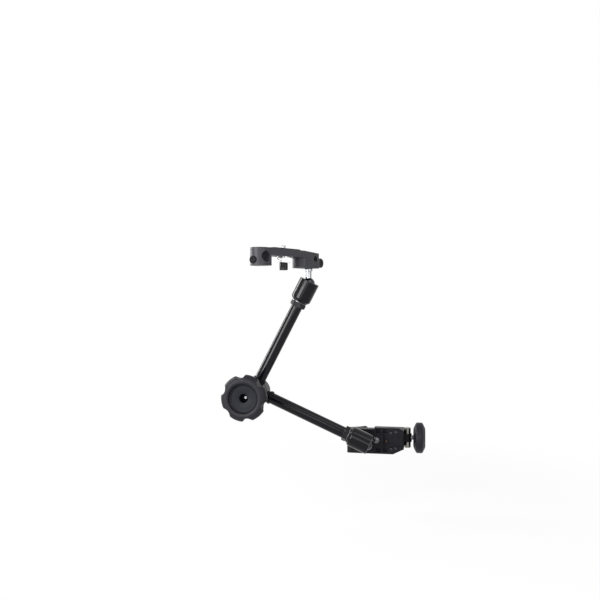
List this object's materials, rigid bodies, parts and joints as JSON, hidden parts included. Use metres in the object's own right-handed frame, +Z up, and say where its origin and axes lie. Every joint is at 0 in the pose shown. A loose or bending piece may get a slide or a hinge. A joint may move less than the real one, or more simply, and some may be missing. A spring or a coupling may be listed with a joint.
{
  "type": "articulating friction arm",
  "caption": "Articulating friction arm with a central locking knob, ball joints at both ends, a camera bracket on top and a pole clamp below.",
  "frame": {"origin": "on the axis of the gripped pole at mid-height of the clamp", "axes": "+Z up along the pole, +X towards the clamp knob, -Y towards the face of the elbow knob"},
  "size_m": [0.3072, 0.2378, 0.3359],
  "materials": {
    "arm_black": "gloss black anodised",
    "clamp_grey": "satin dark grey casting",
    "bracket_grey": "satin grey casting",
    "nut_black": "black oxide",
    "chrome": "polished",
    "bright_steel": "turned",
    "inner_steel": "ground",
    "brass": "turned",
    "knob_grey": "soft matt",
    "knob_black": "matt",
    "wing_black": "gloss",
    "rubber_black": "matt",
    "fibre": "fibre disc"
  },
  "bodies": {
    "clamp": {"clamp_body": "clamp_grey", "hook_pad": "rubber_black", "barrel_nut": "bright_steel", "clamp_screws": "bright_steel", "rib_tip": "brass", "plunger_bush": "inner_steel", "plunger_spring": "inner_steel"},
    "jaw": {"clamp_jaw": "clamp_grey", "jaw_pad": "rubber_black"},
    "spindle": {"clamp_spindle": "inner_steel", "clamp_knob": "knob_black"},
    "plunger": {"lock_plunger": "chrome"},
    "lower_stud": {"lower_stud": "bright_steel"},
    "lower_arm": {"lower_housing": "arm_black", "lower_ring": "chrome", "lower_nut": "nut_black", "lower_tube": "arm_black", "lower_hub": "arm_black", "lower_rod": "inner_steel", "lower_cup": "brass", "lower_cone": "brass", "hub_bolt": "inner_steel", "bolt_nut": "inner_steel", "hub_cap": "arm_black", "disc_springs": "inner_steel", "friction_washer": "fibre", "knob_screw": "bright_steel"},
    "upper_arm": {"upper_hub": "arm_black", "upper_tube": "arm_black", "upper_nut": "nut_black", "upper_ring": "chrome", "upper_housing": "arm_black", "upper_rod": "inner_steel", "upper_cone": "brass"},
    "elbow_knob": {"elbow_knob": "knob_grey", "knob_insert": "inner_steel", "thrust_washer": "inner_steel"},
    "upper_cup": {"upper_cup": "brass"},
    "upper_stud": {"upper_stud": "bright_steel"},
    "bracket": {"bracket": "bracket_grey", "bracket_pad": "rubber_black", "side_screw": "nut_black"},
    "end_screw": {"end_screw": "nut_black"},
    "wing_screw": {"wing_screw": "bright_steel", "wing_head": "wing_black"},
    "camera_slider": {"camera_washer": "bright_steel"},
    "camera_ring": {"camera_ring": "chrome"},
    "camera_screw": {"camera_screw": "bright_steel", "camera_wing": "wing_black"}
  },
  "joints": [
    {"name": "spigot_turn", "type": "hinge", "parent": "clamp", "child": "lower_stud", "pos_m": [0, -0.062, 0], "axis": [0, 1, 0], "continuous": true},
    {"name": "lower_ball_swing", "type": "hinge", "parent": "lower_stud", "child": "lower_arm", "pos_m": [0, -0.062, 0], "axis": [0.4051, 0, 0.9143], "range_deg": [0, 120]},
    {"name": "elbow_fold", "type": "hinge", "parent": "lower_arm", "child": "upper_arm", "pos_m": [-0.17965, -0.09, 0.07961], "axis": [0, 1, 0], "range_deg": [-93, 55]},
    {"name": "elbow_knob_turn", "type": "hinge", "parent": "lower_arm", "child": "elbow_knob", "pos_m": [-0.17965, -0.09, 0.07961], "axis": [0, -1, 0], "range_deg": [-30, 360]},
    {"name": "upper_ball_roll", "type": "hinge", "parent": "upper_arm", "child": "upper_cup", "pos_m": [-0.08953, -0.09, 0.25422], "axis": [0.4586, 0, 0.8886], "continuous": true},
    {"name": "upper_ball_tilt", "type": "hinge", "parent": "upper_cup", "child": "upper_stud", "pos_m": [-0.08953, -0.09, 0.25422], "axis": [0, 1, 0], "range_deg": [-6, 60]},
    {"name": "bracket_turn", "type": "hinge", "parent": "upper_stud", "child": "bracket", "pos_m": [-0.08953, -0.09, 0.27822], "axis": [0, 0, 1], "continuous": true},
    {"name": "wing_screw_turn", "type": "hinge", "parent": "bracket", "child": "wing_screw", "pos_m": [-0.0844, -0.07993, 0.28782], "axis": [0.454, 0.891, 0], "range_deg": [-30, 720]},
    {"name": "end_screw_turn", "type": "hinge", "parent": "bracket", "child": "end_screw", "pos_m": [-0.14954, -0.20779, 0.28622], "axis": [-0.454, -0.891, 0], "range_deg": [-30, 720]},
    {"name": "camera_screw_slide", "type": "slide", "parent": "bracket", "child": "camera_slider", "axis": [0.454, 0.891, 0], "range_m": [-0.026, 0.0135]},
    {"name": "camera_ring_turn", "type": "hinge", "parent": "camera_slider", "child": "camera_ring", "pos_m": [-0.11822, -0.14631, 0.28622], "axis": [0, 0, 1], "continuous": true},
    {"name": "camera_screw_turn", "type": "hinge", "parent": "camera_slider", "child": "camera_screw", "pos_m": [-0.11822, -0.14631, 0.28622], "axis": [0, 0, 1], "continuous": true},
    {"name": "jaw_slide", "type": "slide", "parent": "clamp", "child": "jaw", "axis": [1, 0, 0], "range_m": [-0.0019, 0.0179]},
    {"name": "clamp_knob_turn", "type": "hinge", "parent": "jaw", "child": "spindle", "pos_m": [0.06, 0, 0], "axis": [1, 0, 0], "range_deg": [-240, 2160]},
    {"name": "plunger_press", "type": "slide", "parent": "clamp", "child": "plunger", "axis": [0, 1, 0], "range_m": [0, 0.003], "stiffness_N_per_m": 600, "deforming": ["plunger_spring"]}
  ],
  "couplings": [
    {"joint": "clamp_knob_turn", "follows": "jaw_slide", "rad_per_m": 2094.4}
  ]
}
